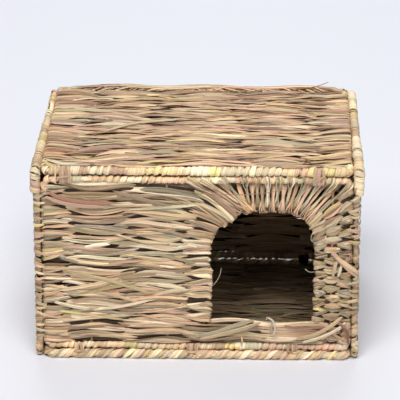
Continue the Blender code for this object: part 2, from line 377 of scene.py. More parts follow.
def grass_material(name, streak_low, streak_high, roughness, mottle):
    """Dry grass: the strand's own tint, streaked along its fibres and mottled, with fine ribs."""
    made, nodes, links, shader = new_material(name, roughness)
    shader.inputs["Specular IOR Level"].default_value = 0.32
    tint = nodes.new("ShaderNodeAttribute")
    tint.attribute_name = "tint"
    leaf = nodes.new("ShaderNodeAttribute")
    leaf.attribute_name = "leaf"

    def fibre_noise(scale, detail):
        stretch = nodes.new("ShaderNodeVectorMath")
        stretch.operation = "MULTIPLY"
        stretch.inputs[1].default_value = scale
        links.new(leaf.outputs["Vector"], stretch.inputs[0])
        noise = nodes.new("ShaderNodeTexNoise")
        noise.inputs["Scale"].default_value = 1.0
        noise.inputs["Detail"].default_value = detail
        links.new(stretch.outputs[0], noise.inputs["Vector"])
        return noise.outputs["Fac"]

    def remap(value, low, high, to_low, to_high):
        node = nodes.new("ShaderNodeMapRange")
        for socket, number in zip(node.inputs[1:5], (low, high, to_low, to_high)):
            socket.default_value = number
        links.new(value, node.inputs[0])
        return node.outputs[0]

    # Scales: along the strand, across it, and from strand to strand
    streaks = fibre_noise((16, 1000, 7), 4)
    blotches = fibre_noise((55, 260, 5), 2)
    ribs = fibre_noise((14, 1500, 3), 2)
    streaked = nodes.new("ShaderNodeVectorMath")
    streaked.operation = "SCALE"
    links.new(tint.outputs["Color"], streaked.inputs[0])
    links.new(remap(streaks, 0.32, 0.68, streak_low, streak_high), streaked.inputs["Scale"])
    blend = nodes.new("ShaderNodeMix")
    blend.data_type = "RGBA"
    links.new(remap(blotches, 0.56, 0.78, 0.0, mottle), blend.inputs["Factor"])
    links.new(streaked.outputs[0], blend.inputs["A"])
    blend.inputs["B"].default_value = (*linear(COLOURS["brown"]), 1)
    links.new(blend.outputs["Result"], shader.inputs["Base Color"])
    add_bump(nodes, links, shader, ribs, 0.8, 0.0006)
    return made


def steel_material():
    """Drawn wire, dulled and a little rusty."""
    made, nodes, links, shader = new_material("drawn_steel", 0.5)
    shader.inputs["Metallic"].default_value = 1.0
    noise = object_texture(nodes, links, "ShaderNodeTexNoise", 220)
    noise.inputs["Detail"].default_value = 4
    ramp = colour_ramp(
        nodes, links, shader, noise.outputs["Fac"], (0.05, 0.035, 0.025), (0.17, 0.14, 0.11)
    )
    ramp.color_ramp.elements[0].position = 0.35
    return made


def cord_material():
    """Warp cord of twisted grass, seen through the gaps between the weft."""
    made, nodes, links, shader = new_material("warp_cord", 0.85)
    waves = object_texture(nodes, links, "ShaderNodeTexWave", 260)
    waves.wave_type = "BANDS"
    waves.bands_direction = "DIAGONAL"
    waves.inputs["Distortion"].default_value = 3
    colour_ramp(
        nodes, links, shader, waves.outputs["Fac"], linear((120, 88, 58)), linear((190, 156, 112))
    )
    add_bump(nodes, links, shader, waves.outputs["Fac"], 0.6, 0.0005)
    return made


# Panels


def nodes_like(prefix):
    return sorted(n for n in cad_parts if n.startswith(prefix))


def middle_of(node_name):
    return np.mean(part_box(node_name), axis=0)


class Panel:
    """Where a panel's mat lies, and how to place points given in its own frame."""

    def __init__(self, name, across, up, out):
        low, high = (np.array(corner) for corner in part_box(f"{name}_weave"))
        self.name = name
        self.axes = np.array([across, up, out], float)
        self.origin = (low + high) / 2
        size = np.abs(self.axes @ (high - low))
        self.inset = SIDE_INSET if name.endswith("side") else 0.0
        self.half = size[0] / 2
        self.top = size[1] / 2
        self.wire = self.half - SELVAGE_INSET
        self.rods = (-self.top - ROD_OFFSET, self.top + ROD_OFFSET)
        self.notches = []  # u of the lashings that its low edge leaves room for
        rng = np.random.default_rng(len(name) + 3)
        # Waves of unevenness: how tight they are across and up the panel, their phase and their weight
        self.waves = np.column_stack(
            [rng.uniform(25, 75, 7), rng.uniform(15, 60, 7), rng.uniform(0, 6.3, 7), rng.normal(0, 1, 7)]
        )

    def place(self, points):
        return self.origin + np.asarray(points, float) @ self.axes

    def press(self, points):
        """Points of the mat, with those that stand far out of its plane pressed back towards it.

        Its sides are kept straight, and its low edge; rows may lie over the rod at the high one.
        """
        local = (points - self.origin) @ self.axes.T
        local[:, 0] = np.clip(local[:, 0], -self.half - EDGE_SPARE, self.half + EDGE_SPARE)
        low_edge = np.full(len(local), -self.top - EDGE_SPARE)
        for u in self.notches:
            low_edge += NOTCH_DEPTH * np.clip(2 - 2 * np.abs(local[:, 0] - u) / NOTCH_HALF, 0, 1)
        local[:, 1] = np.maximum(local[:, 1], low_edge)
        for sign, limit in zip((-1, 1), DEPTHS[self.name]):
            over = np.maximum(sign * local[:, 2] - PRESS_FROM, 0)
            room = limit - PRESS_FROM
            local[:, 2] -= sign * (over - room * np.tanh(over / room))
        return self.place(local)

    def turn(self, directions):
        return np.asarray(directions, float) @ self.axes

    def unevenness(self, flat, size):
        """A smooth random value for each (u, v) point, the same for rows that lie near each other."""
        across, up, phase, weight = self.waves.T
        waves = np.sin(flat[:, :1] * across + flat[:, 1:] * up + phase) * weight
        return size * waves.sum(1) / math.sqrt(len(self.waves))

    def warps(self):
        """u of each warp cord, from the CAD."""
        found = nodes_like(f"{self.name}_warp_")
        return sorted(float(self.axes[0] @ (middle_of(n) - self.origin)) for n in found)


def eased(stations, values, s):
    """Values at stations, joined by half cosine waves."""
    i = np.clip(np.searchsorted(stations, s, side="right") - 1, 0, len(stations) - 2)
    t = np.clip((s - stations[i]) / (stations[i + 1] - stations[i]), 0, 1)
    f = (1 - np.cos(np.pi * t)) / 2
    return values[i] * (1 - f) + values[i + 1] * f


def lay_row(
    strands, panel, line, stations, sides, pitch, lifts, turns,
    count=4, sway=1.0, core=BROAD_SHADE_CORE, widths=STRAND_W, pinch=PINCH,
):
    """One weft row: count strands along line, over the warps where sides is 1 and under where it is -1.

    line holds (u, v) points, stations are lengths along it, pitch and lifts are given at each station, and
    turns is the way that the row moves up the panel as it turns round the wire at each end (0: cut there),
    times how far past the wire it reaches. sway is how far the row and its strands wander.
    core is the width, in pitches, of the near-black strand in the row's middle, which the others hide; its
    colour is painted shade for the gaps between them (0: none).
    widths are the strands' least and greatest, and pinch is how far they spread where they pass between two
    warps. With less than the usual pinch, they also widen like petals where they pass over or under.
    """
    rng = strands.rng
    line = np.asarray(line, float)
    stations, sides = np.array(stations, float), np.asarray(sides, float)
    stations[1:-1] += rng.uniform(-1, 1, len(stations) - 2) * CROSSING_SHIFT * sway
    along = lengths_along(line)
    s = np.linspace(0, along[-1], max(6, int(along[-1] / STEP)) + 1)
    centre = points_at(line, along, s)
    heading = unit(np.gradient(centre, axis=0))
    upward = np.stack([-heading[:, 1], heading[:, 0]], 1)
    centre = centre + upward * panel.unevenness(centre, UNEVEN_ROWS * sway)[:, None]
    bulge = panel.unevenness(centre[:, ::-1], UNEVEN_FACE)
    strength = rng.uniform(0.8, 1.15, len(stations))
    over = eased(stations, sides, s)
    lift = eased(stations, np.asarray(lifts, float) * strength, s)
    gap = eased(stations, np.asarray(pitch, float), s)
    row_sway = wander(rng, s, 0.055, 0.0010 * sway)
    slots = np.linspace(-1, 1, count)
    order = np.array([rng.permutation(slots) for _ in stations])
    for k in range(1, len(stations)):
        if rng.random() < 0.35:
            order[k] = order[k - 1]
    # The row's middle strand, coloured near black: painted shade that shows through the gaps between its
    # strands
    if core:
        middle = np.column_stack([centre + upward * row_sway[:, None], -over * 0.0006 + bulge + panel.inset])
        strands.lay(
            panel.place(middle),
            panel.turn([0, 0, 1]),
            core * float(np.mean(pitch)),
            0.0012,
            colour=linear(COLOURS["brown"]) * rng.uniform(0.08, 0.25),
        )
    for j in range(count):
        slot = eased(stations, order[:, j] * rng.uniform(0.75, 1.2, len(stations)), s)
        layer = rng.uniform(0.0, 0.0016)
        tilt = rng.choice([-1, 1]) * rng.uniform(0.0004, 0.0011)
        offset = slot * gap * (pinch + 0.50 * np.abs(over)) + row_sway + wander(rng, s, 0.045, 0.0011 * sway)
        flat = centre + upward * offset[:, None]
        height = over * (lift + layer) + (1 - over**2) * tilt + bulge + panel.inset
        points = np.column_stack([flat, height])
        facing = np.tile([0.0, 0.0, 1.0], (len(points), 1))
        for end in (0, -1):
            if turns[end] and sides[end] > 0:
                points, facing = add_turn(points, facing, end, turns[end], gap[end], panel.inset, rng)
        roll = wander(rng, np.linspace(0, along[-1], len(points)), 0.05, 0.45) + rng.normal(0, 0.22)
        swell = np.ones(len(points))
        if pinch < PINCH:
            roll = 0.6 * roll
            fullness = pinch + (1 - pinch) * np.abs(over) ** 0.6
            swell = np.interp(np.linspace(0, 1, len(points)), s / s[-1], fullness)
        cuts = [0, len(points)]
        if len(points) > 24 and rng.random() < 0.45:
            cuts.insert(1, int(rng.integers(8, len(points) - 8)))
        for first, last in zip(cuts[:-1], cuts[1:]):
            part = slice(max(0, first - 2), last + 2)
            piece = points[part].copy()
            if first:
                piece[:3, 2] += np.array([0.0011, 0.0008, 0.0003])
            strands.lay(
                panel.place(piece),
                panel.turn(facing[part]),
                rng.uniform(*widths),
                rng.uniform(*STRAND_T),
                roll=roll[part],
                swell=swell[part],
                taper=(0.12 if first else 0.4, 0.12 if last < len(points) else 0.4),
            )


def add_turn(points, facing, end, turn, gap, inset, rng):
    """A strand's points and facing, carried round the wire at one end and a little way back behind it."""
    tip, before = (points[0], points[1]) if end == 0 else (points[-1], points[-2])
    outward = unit((tip - before)[:2])
    radius = tip[2] - inset
    reach = np.clip(radius, LOOP_REACH, MOST_REACH) * abs(turn)
    angles = np.radians(np.arange(22.5, 181, 22.5))
    sideways = np.array([-outward[1], outward[0]]) * (1 if end == -1 else -1)
    shift = turn * gap * rng.uniform(0.5, 0.9)
    loop = [
        [*(tip[:2] + outward * reach * np.sin(a) + sideways * shift * a / np.pi), inset + radius * np.cos(a)]
        for a in angles
    ]
    tail = np.array([*(np.array(loop[-1])[:2] - outward * 0.006), inset - radius * 0.9])
    loop = np.vstack([loop, tail])
    around = np.array([[*(outward * np.sin(a)), np.cos(a)] for a in angles] + [[0, 0, -1]])
    if end == 0:
        return np.vstack([loop[::-1], points]), np.vstack([around[::-1], facing])
    return np.vstack([points, loop]), np.vstack([facing, around])


def over_and_under(row, count):
    """The side of each warp that a row passes on, 1 for over it. Rows take turns."""
    return [1 if (row + k) % 2 == 0 else -1 for k in range(count)]


def end_turns(row):
    """Which neighbour a row goes on to round the wire at each end."""
    return (-1, 1) if row % 2 == 0 else (1, -1)


def weave_mat(panel, seed, mix, sway, stray, bright):
    """The rows of a plain mat, from the low rod to the high one, with stray strands over them.

    stray is how many of those there are to the square metre.
    """
    rng = np.random.default_rng(seed)
    strands = Strands(rng, mix, bright, panel.press)
    stations = np.array([-panel.wire, *panel.warps(), panel.wire])
    area = 4 * panel.half * panel.top
    up = (-panel.top + 0.004, panel.top - 0.004)
    cross_strands(strands, panel, int(area * stray), (-panel.wire, panel.wire), up)
    rows = round(2 * panel.top / ROW_PITCH)
    pitch = 2 * panel.top / rows
    ones = np.ones(len(stations))
    for row in range(rows):
        v = -panel.top + (row + 0.5) * pitch
        bow = wander(rng, np.linspace(0, 1, 9), 0.3, 0.0005)
        line = np.stack([np.linspace(-panel.wire, panel.wire, 9), v + bow], 1)
        sides = over_and_under(row, len(stations))
        row_sway = sway * (0.35 if row in (0, 1, rows - 2, rows - 1) else 1.0)
        # Light shows through the back's second row, as it does in the photo
        core = 0 if panel is BACK and row == 1 else BROAD_SHADE_CORE
        lay_row(
            strands, panel, line, stations + panel.wire, sides, pitch * ones, LIFT * ones, end_turns(row),
            4, row_sway, core,
        )
    return strands


def cross_strands(strands, panel, count, across, up, droop=0.0):
    """Strands that stray over their neighbours at a slant. droop turns them down towards the right."""
    rng = strands.rng
    for _ in range(count):
        length = rng.uniform(0.045, 0.12)
        u0 = rng.uniform(across[0] + length / 2, across[1] - length / 2)
        v0 = rng.uniform(*up)
        t = np.linspace(-1, 1, max(9, int(length / STEP)))
        slope = rng.choice([-1, 1]) * rng.uniform(0.06, 0.26)
        near_door = np.clip((u0 - across[0]) / (across[1] - across[0]), 0, 1) ** 2
        slope -= droop * near_door * np.clip((v0 - up[0]) / (up[1] - up[0]), 0, 1)
        u = u0 + t * length / 2
        v = v0 + slope * t * length / 2 + rng.normal(0, 0.0012) * np.cos(np.pi * t)
        v = np.clip(v, up[0] - 0.002, up[1] + 0.002)
        w = panel.inset + 0.0038 - 0.0034 * np.abs(t) ** 2.5 + rng.uniform(0, 0.0008)
        w = w + panel.unevenness(np.column_stack([v, u]), UNEVEN_FACE)
        strands.lay(
            panel.place(np.column_stack([u, v, w])),
            panel.turn([0, 0, 1]),
            rng.uniform(0.0030, 0.0052),
            rng.uniform(0.0011, 0.0016),
            roll=rng.normal(0, 0.2),
            taper=(0.15, 0.15),
        )


# The front panel's rows bend round the doorway


def door_line():
    """The door wire in the front panel's frame, from the sill up, over the arch and down."""
    low, high = (np.array(c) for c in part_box("door_arch_wire"))
    left, right = low[0] + WIRE_R, high[0] - WIRE_R
    top = high[2] - WIRE_R
    quarter = np.radians(np.linspace(0, 90, 13))
    a, b = ARCH_LEFT_R, ARCH_RIGHT_R
    left_arc = [(left + a - a * math.cos(t), top - a + a * math.sin(t)) for t in quarter]
    right_arc = [(right - b + b * math.sin(t), top - b + b * math.cos(t)) for t in quarter]
    points = np.array([(left, SILL_Z), *left_arc, *right_arc, (right, SILL_Z)])
    return points - [FRONT.origin[0], FRONT.origin[2]]


def along_line(line, share):
    """The points at these shares of a line's length."""
    lengths = lengths_along(line)
    return points_at(line, lengths, np.asarray(share) * lengths[-1])


def bend(start, start_way, end, end_way, pull):
    """A cubic Bezier curve between two points."""
    t = np.linspace(0, 1, 16)[:, None]
    a, d = np.array(start, float), np.array(end, float)
    reach = np.linalg.norm(d - a) * pull
    b, c = a + unit(np.array(start_way, float)) * reach, d - unit(np.array(end_way, float)) * reach
    return a * (1 - t) ** 3 + 3 * b * t * (1 - t) ** 2 + 3 * c * t**2 * (1 - t) + d * t**3


def weave_front():
    """All of the front's rows, except the fan between the doorway, the top rod and the right edge."""
    rng = np.random.default_rng(11)
    rows = Strands(rng, FRONT_MIX, (0.52, 1.36), FRONT.press)
    panel = FRONT
    door = door_line()
    sill_v = door[0, 1]
    warps = panel.warps()
    low = -panel.top

    cross_strands(rows, panel, 26, (-panel.wire, door[0, 0]), (sill_v, panel.top - 0.006), droop=0.35)

    # Full rows under the sill
    sill_rows = 5
    pitch = (sill_v - low) / sill_rows
    stations = np.array(sorted([-panel.wire, *warps, door[0, 0], door[-1, 0], panel.wire]))
    ones = np.ones(len(stations))
    for row in range(sill_rows):
        v = low + (row + 0.5) * pitch
        line = [(-panel.wire, v), (panel.wire, v)]
        sides = over_and_under(row, len(stations))
        lay_row(
            rows, panel, line, stations + panel.wire, sides, pitch * ones, LIFT * ones, end_turns(row),
            core=THIN_SHADE_CORE,
        )

    # Rows between the left edge and the doorway; the upper ones bend down to the arch's shoulder
    left_rows = 26
    pitch = (panel.top - sill_v) / left_rows
    door_length = lengths_along(door)[-1]
    left_warps = [w for w in warps if w < door[0, 0]]
    for row in range(left_rows):
        v = sill_v + (row + 0.5) * pitch
        below_arch = v < door[1, 1]
        share = (v - sill_v) / door_length if below_arch else arch_share(row, left_rows, sill_v, pitch, door)
        end = along_line(door, share)
        ahead = along_line(door, share + 0.01) - end
        inward = unit(np.array([ahead[1], -ahead[0]]))
        curve = bend((left_warps[0], v), (1, 0), end, unit(inward + np.array([0.55, 0.0])), 0.42)
        line = np.vstack([[(-panel.wire, v)], curve])
        lengths = lengths_along(line)
        stations = [0.0, *(float(np.interp(w, line[:, 0], lengths)) for w in left_warps), lengths[-1]]
        k = len(stations)
        gaps = [pitch] * (k - 1) + [pitch if below_arch else ARCH_PITCH]
        way = end_turns(row)[0]
        turns = (way, -way * rng.uniform(*DOOR_RAGGED))
        lay_row(
            rows, panel, line, stations, over_and_under(row, k), gaps, [LIFT] * k, turns, core=THIN_SHADE_CORE
        )
    return rows


def arch_share(row, rows, sill_v, pitch, door):
    """Where a row that ends on the arch's left quarter meets the door wire, as a share of its length."""
    spring = (door[1, 1] - sill_v) / lengths_along(door)[-1]
    first = (door[1, 1] - sill_v) / pitch
    return spring + (SHOULDER - spring) * (row + 0.5 - first) / (rows - first)


def weave_fan():
    """Short rows from the doorway's wire out to the top rod and the right edge."""
    rng = np.random.default_rng(12)
    strands = Strands(rng, OUTER_FAN_MIX, (0.74, 1.38), FRONT.press)
    panel = FRONT
    door = door_line()
    rod = panel.rods[1]
    top_v = door[:, 1].max()
    spring_v = door[-2, 1]
    samples = along_line(door, np.linspace(0, 1, 800))

    def door_share(point):
        return float(np.argmin(np.hypot(*(samples - point).T)) / (len(samples) - 1))

    def right_arc(degrees):
        a = math.radians(degrees)
        centre_u = door[-1, 0] - ARCH_RIGHT_R
        return centre_u + ARCH_RIGHT_R * math.cos(a), spring_v + ARCH_RIGHT_R * math.sin(a)

    # (outer point, inner point) pairs that the rows are spread between
    spread = [
        ((-0.019, rod), along_line(door, 0.405)),
        ((0.010, rod), along_line(door, 0.445)),
        ((0.057, rod), (0.060, top_v)),
        ((0.104, rod), (0.100, top_v)),
        ((0.146, rod), right_arc(62)),
        ((panel.wire, panel.top), right_arc(42)),
        ((panel.wire, top_v - 0.012), right_arc(18)),
        ((panel.wire, spring_v - 0.006), (door[-1, 0], spring_v - 0.006)),
        ((panel.wire, door[0, 1]), (door[-1, 0], door[0, 1])),
    ]
    outer = np.array([o for o, _ in spread])
    inner_share = np.array([door_share(i) for _, i in spread])
    reach = lengths_along((outer + along_line(door, inner_share)) / 2)
    count = round(reach[-1] / FAN_PITCH)
    near = reach[-1] / count * FAN_SPREAD
    warp = panel.warps()[-1]
    for row in range(count):
        at = (row + 0.5) * reach[-1] / count
        out_point = points_at(outer, reach, at)
        in_point = along_line(door, np.interp(at, reach, inner_share))
        line = np.linspace(in_point, out_point, 5)
        total = np.linalg.norm(out_point - in_point)
        way = 1 if row % 2 else -1
        turns = (way * rng.uniform(*DOOR_RAGGED), way)
        if out_point[1] > panel.top:
            # Over the rod and behind the arch, or the other way round
            sides = [-way, 0, way]
            strands.mix = OUTER_FAN_MIX if sides[0] < 0 else INNER_FAN_MIX
            gaps = [near, near, near * 1.3]
            lifts = [LIFT, LIFT, THIN_ROD_R + 0.0022]
            lay_row(
                strands, panel, line, [0.0, 0.42 * total, total], sides, gaps, lifts, turns,
                5, 0.25, 0, FAN_STRAND_W, FAN_PINCH,
            )
            continue
        stations = [0.0, total]
        gaps = [near, near * 1.25]
        if in_point[0] < warp - 0.004:
            stations.insert(1, total * (warp - in_point[0]) / (out_point[0] - in_point[0]))
            gaps = [near] * 3
        k = len(stations)
        strands.mix = FRONT_MIX
        strands.bright = (0.58, 1.15)
        lay_row(
            strands, panel, line, stations, over_and_under(row, k), gaps, [LIFT] * k, turns, 3, 0.4, THIN_SHADE_CORE
        )
    return strands


# Bound edges and lashings


def ring_path(panel, which, beyond):
    """The low or high edge of a panel's frame, carried round its corners by beyond, one length for each."""
    v = panel.rods[which]
    inward = 1 if which == 0 else -1
    end = panel.wire - CORNER_R
    quarter = np.radians(np.linspace(90, 0, 6))
    ends = []
    for reach in beyond:
        corner = [
            (end + CORNER_R * math.cos(a), v + inward * CORNER_R * (1 - math.sin(a))) for a in quarter
        ]
        steps = np.linspace(0, reach, max(2, int(reach / 0.004)))[1:]
        corner += [(panel.wire, v + inward * (CORNER_R + step)) for step in steps]
        ends.append(np.array(corner))
    run = np.linspace(-end, end, 70)[1:-1]
    flat = np.vstack([ends[0][::-1] * [-1, 1], np.column_stack([run, np.full(len(run), v)]), ends[1]])
    return np.column_stack([flat, np.zeros(len(flat))])


def wind(strands, path, radius, last, leaf_w, pitch, starts):
    """Flat leaves wound round a path, one after another, over a core. last is the radius at its far end."""
    rng = strands.rng
    along = lengths_along(path)
    total = along[-1]
    thickness = 0.0017
    shrink = np.linspace(1.0, last / radius, 90)

    def at(s):
        ahead = points_at(path, along, s + 0.002) - points_at(path, along, s - 0.002)
        return points_at(path, along, s), unit(ahead)

    side = unit(np.cross(at(np.array([total / 2]))[1][0], [0.0, 0.0, 1.0]) + 1e-9)
    s = np.linspace(0, total, 90)
    core = 2 * (radius - thickness)
    strands.lay(at(s)[0], side, core, core, taper=(0.9, 0.9), groove=(1, 1), swell=shrink)
    for start in range(starts):
        position = 0.0
        angle = 2 * np.pi * start / starts + rng.uniform(0, 1)
        while position < total - 0.001:
            turns = rng.uniform(1.1, 3.2)
            leaf_pitch = pitch * rng.uniform(0.85, 1.2)
            reach = min(turns * leaf_pitch, total - position)
            steps = max(6, int(reach / leaf_pitch * 13))
            s = np.linspace(position, position + reach + 0.3 * leaf_pitch, steps)
            s = np.minimum(s, total)
            spin = angle - 2 * np.pi * (s - position) / leaf_pitch
            centre, ahead = at(s)
            first = unit(np.cross(ahead, np.array(ASKEW)))
            second = np.cross(ahead, first)
            radial = np.cos(spin)[:, None] * first + np.sin(spin)[:, None] * second
            bulge = radius + (last - radius) * s / total - thickness / 2 + rng.uniform(-0.0004, 0.0005)
            strands.lay(
                centre + radial * (bulge + wander(rng, s, 0.008, 0.00022))[:, None],
                radial,
                rng.uniform(*leaf_w),
                thickness,
                roll=rng.normal(0, 0.13),
                taper=(0.55, 0.55),
                groove=rng.uniform(0.5, 1.15, 2),
            )
            position += reach
            angle -= 2 * np.pi * reach / leaf_pitch


def at_front_top(panel, which):
    """Whether this is one of the two rods along the top of the front, which are the palest."""
    return (panel is ROOF and which == 0) or (panel is FRONT and which == 1)


def bind_edge(panel, which, edge, seed, radii, leaf_w, pitch, starts, beyond, shifts):
    """The wound rod along one edge of a panel. shifts move each end of it up the panel and out of it."""
    rng = np.random.default_rng(seed)
    bright = (0.95, 1.6) if at_front_top(panel, which) else (0.74, 1.42)
    strands = Strands(rng, BINDING_MIX, bright)
    path = ring_path(panel, which, beyond)
    share = np.linspace(0, 1, len(path))[:, None]
    path[:, 1:] += (1 - share) * np.array(shifts[0]) + share * np.array(shifts[1])
    path[:, 1] += wander(rng, np.linspace(0, 0.4, len(path)), 0.06, 0.0003)
    wind(strands, panel.place(path), *radii, leaf_w, pitch, starts)
    node = f"{panel.name}_{edge}_binding"
    strands.build(f"{node}_wrap", BINDING, "grass_binding", panel.name, node)


def lashing(node, body, seed, knot_way, winding, spare, spread):
    """A few turns of thin grass round two rods where the CAD lashing is, knotted on the side knot_way.

    winding is the radius of the turns, and spare is how far they may stand out of the CAD lashing's box,
    at its low and at its high corner. spread widens the lashing along the rods.
    """
    low, high = (np.array(c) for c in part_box(node))
    size = high - low
    centre = (low + high) / 2

    def pressed(points):
        return np.clip(points, low - spare[0], high + spare[1])

    rng = np.random.default_rng(seed)
    strands = Strands(rng, LASHING_MIX, shaped=pressed)
    long_axis = int(np.argmax(size))
    deep_axis = int(np.argmax(np.abs(knot_way)))
    run_axis = 3 - long_axis - deep_axis
    half = max(0.0, (size[long_axis] - size[deep_axis]) / 2)
    width = size[run_axis] * spread
    loops = round(5 * spread)
    e_long, e_deep, e_run = np.eye(3)[long_axis], knot_way, np.eye(3)[run_axis]
    angles = np.linspace(0, 2 * np.pi, 25)
    for k in range(loops):
        radius = winding + rng.uniform(0, 0.0004)
        start = (k / (loops - 1) - 0.5) * width + rng.normal(0, 0.0006)
        slant = rng.uniform(-1, 1) * size[run_axis] * 0.3
        around = angles + rng.uniform(0, 2 * np.pi)
        points = (
            centre
            + np.outer(np.sign(np.sin(around)) * half + radius * np.sin(around), e_long)
            + np.outer(radius * np.cos(around), e_deep)
            + np.outer(start + slant * np.cos(around), e_run)
        )
        facing = np.outer(np.sin(around), e_long) + np.outer(np.cos(around), e_deep)
        strands.lay(
            points, facing, rng.uniform(0.0028, 0.0046), rng.uniform(0.0010, 0.0014), roll=rng.normal(0, 0.2)
        )
    knot = centre + e_deep * (winding + 0.0008)
    for sign in (-1, 1):
        t = np.linspace(0, 1, 12)[:, None]
        curl = e_long * rng.uniform(-0.007, 0.003) + e_run * sign * rng.uniform(0.004, 0.008)
        cross = e_run * (-sign) * 0.0035
        points = knot + cross * (1 - t) ** 2 + curl * t**1.4 + e_deep * 0.0012 * np.sin(np.pi * t)
        strands.lay(points, e_deep, rng.uniform(0.0026, 0.0036), 0.0012, taper=(0.5, 0.3))
    strands.build(f"{node}_turns", LASHING, "grass_lashing", body, node)


def smooth_curve(points, count):
    """A Catmull-Rom curve through the points."""
    points = np.asarray(points, float)
    padded = np.vstack([2 * points[0] - points[1], points, 2 * points[-1] - points[-2]])
    t = np.linspace(0, len(points) - 1 - 1e-6, count)
    i = t.astype(int)
    f = (t - i)[:, None]
    return catmull_rom(padded[i], padded[i + 1], padded[i + 2], padded[i + 3], f)


def loose_strands(name, body, seed, base, facing, ends):
    """Single strands laid one by one, with their flat sides towards facing.

    ends holds the width, thickness, colour and route of each, in millimetres, with its route from base.
    """
    strands = Strands(np.random.default_rng(seed), LASHING_MIX)
    for width, thickness, colour, route in ends:
        path = smooth_curve(base + np.array(route) * MM, max(8, 6 * len(route)))
        tint = linear(COLOURS[colour])
        strands.lay(path, facing, width * MM, thickness * MM, colour=tint, taper=(0.5, 0.3), roll=0.15)
    strands.build(name, LASHING, "grass_lashing", body)


def edge_cover(panel, seed, mix, which, spans):
    """Strands that leave a mat and lie over the rod beside it: (u from, u to) for each."""
    rng = np.random.default_rng(seed)
    strands = Strands(rng, mix)
    out = -1 if which == 0 else 1
    rod = panel.rods[which]
    for start, end in spans:
        u = np.linspace(start, end, max(8, int(abs(end - start) / 0.006)))
        t = np.linspace(0, 1, len(u))
        hump = np.clip(2.5 * np.sin(np.pi * t), 0, 1) * rng.uniform(0.8, 1.05)
        rest = rng.uniform(-0.004, 0.0045)
        v = rod - out * (0.010 - (0.010 - rest) * hump) + wander(rng, u if end > start else -u, 0.05, 0.0006)
        past = np.clip(out * (v - rod), 0, None)
        fall = COVER_R - np.sqrt(COVER_R**2 - past**2)
        ripple = 0.0012 * np.sin(55 * u + 1.0) * hump
        w = 0.0030 + (COVER_R - 0.0033) * hump + rng.uniform(0, 0.0014) + ripple - fall
        path = panel.place(np.column_stack([u, v, w]))
        facing = np.column_stack([np.zeros(len(u)), out * past / COVER_R, np.ones(len(u))])
        strands.lay(path, panel.turn(facing), rng.uniform(0.0038, 0.0056), 0.0014, taper=(0.2, 0.2))
    return strands


def edge_loops(panel, front, seed, spans):
    """Ends of a side mat's rows, bent round its front edge and a little way over the front panel.

    front is the sign of u at that edge, and spans are the heights from the ground that they lie between.
    """
    rng = np.random.default_rng(seed)
    strands = Strands(rng, FRONT_MIX, (0.62, 1.2))
    for low, high in spans:
        for height in np.arange(low, high, LOOP_SPACING):
            over = rng.uniform(0.0070, 0.0110)
            # Forwards of the mat's front edge, and out of its plane
            round_edge = [(-0.016, 0.0028), (-0.006, 0.0036), (0.0015, 0.0022), (0.0040, -0.0015)]
            route = np.array([*round_edge, (0.0047, -0.0050), (0.0044, -over)])
            slant = np.linspace(0, 1, len(route)) ** 2 * rng.uniform(-0.005, 0.005)
            v = height + rng.uniform(-0.003, 0.003) - panel.origin[2] + slant
            path = smooth_curve(np.column_stack([front * (panel.half + route[:, 0]), v, route[:, 1]]), 22)
            facing = np.column_stack(
                [front * (np.abs(path[:, 0]) - panel.half + 0.004), np.zeros(len(path)), path[:, 2] + 0.004]
            )
            strands.lay(
                panel.place(path),
                panel.turn(facing),
                rng.uniform(0.0030, 0.0048),
                rng.uniform(0.0011, 0.0015),
                roll=rng.normal(0, 0.12),
                taper=(0.2, 0.45),
            )
    strands.build(f"{panel.name}_front_edge_strands", WEAVE, "grass_weave", panel.name)


# Floor, light and camera


def build_stage():
    mesh = bpy.data.meshes.new("backdrop")
    corners = [(x * FLOOR_R, y * FLOOR_R, 0) for x, y in ((-1, -1), (1, -1), (1, 1), (-1, 1))]
    mesh.from_pydata(corners, [], [(0, 1, 2, 3)])
    backdrop = bpy.data.objects.new("backdrop", mesh)
    bpy.context.scene.collection.objects.link(backdrop)
    paper, _, _, shader = new_material("backdrop_paper", 0.9)
    shader.inputs["Base Color"].default_value = (0.75, 0.765, 0.82, 1)
    mesh.materials.append(paper)


def area_light(name, place, target, size, power, colour):
    data = bpy.data.lights.new(name, "AREA")
    data.shape = "RECTANGLE"
    data.size, data.size_y = size
    data.energy = power
    data.color = colour
    light = bpy.data.objects.new(name, data)
    light.location = place
    way = np.array(target, float) - np.array(place, float)
    light.rotation_euler = direction_euler(way)
    bpy.context.scene.collection.objects.link(light)


def direction_euler(way):
    """The turn that points an object's -Z along way with its top up."""
    return Vector(way).to_track_quat("-Z", "Y").to_euler()


def build_lights():
    area_light("key", (-0.2, -2.5, 3.7), (0, -0.3, 0.1), (2.6, 2.6), 203, (1.0, 0.98, 0.96))
    area_light("fill", (1.9, -3.2, 1.6), (0, -0.3, 0.1), (1.9, 1.9), 12, (0.95, 0.97, 1.0))
    area_light("top", (0.0, 2.3, 2.7), (0, 1.5, 0.0), (2.0, 2.0), 50, (1.0, 1.0, 1.0))
    world = bpy.data.worlds.new("studio")
    world.use_nodes = True
    world.node_tree.nodes["Background"].inputs[0].default_value = (0.80, 0.84, 0.95, 1)
    world.node_tree.nodes["Background"].inputs[1].default_value = 0.20
    bpy.context.scene.world = world
    bpy.context.scene.view_settings.view_transform = "Standard"


def build_camera():
    data = bpy.data.cameras.new("camera")
    data.sensor_width = 36
    data.lens = CAMERA_LENS
    pitch = math.radians(CAMERA_PITCH)
    yaw = math.radians(CAMERA_YAW)
    back = np.array([math.sin(yaw) * math.cos(pitch), -math.cos(yaw) * math.cos(pitch), math.sin(pitch)])
    camera = bpy.data.objects.new("camera", data)
    camera.location = np.array(CAMERA_TARGET) + back * CAMERA_DISTANCE
    camera.rotation_euler = direction_euler(-back)
    bpy.context.scene.collection.objects.link(camera)
    bpy.context.scene.camera = camera


build_camera()
build_stage()
build_lights()

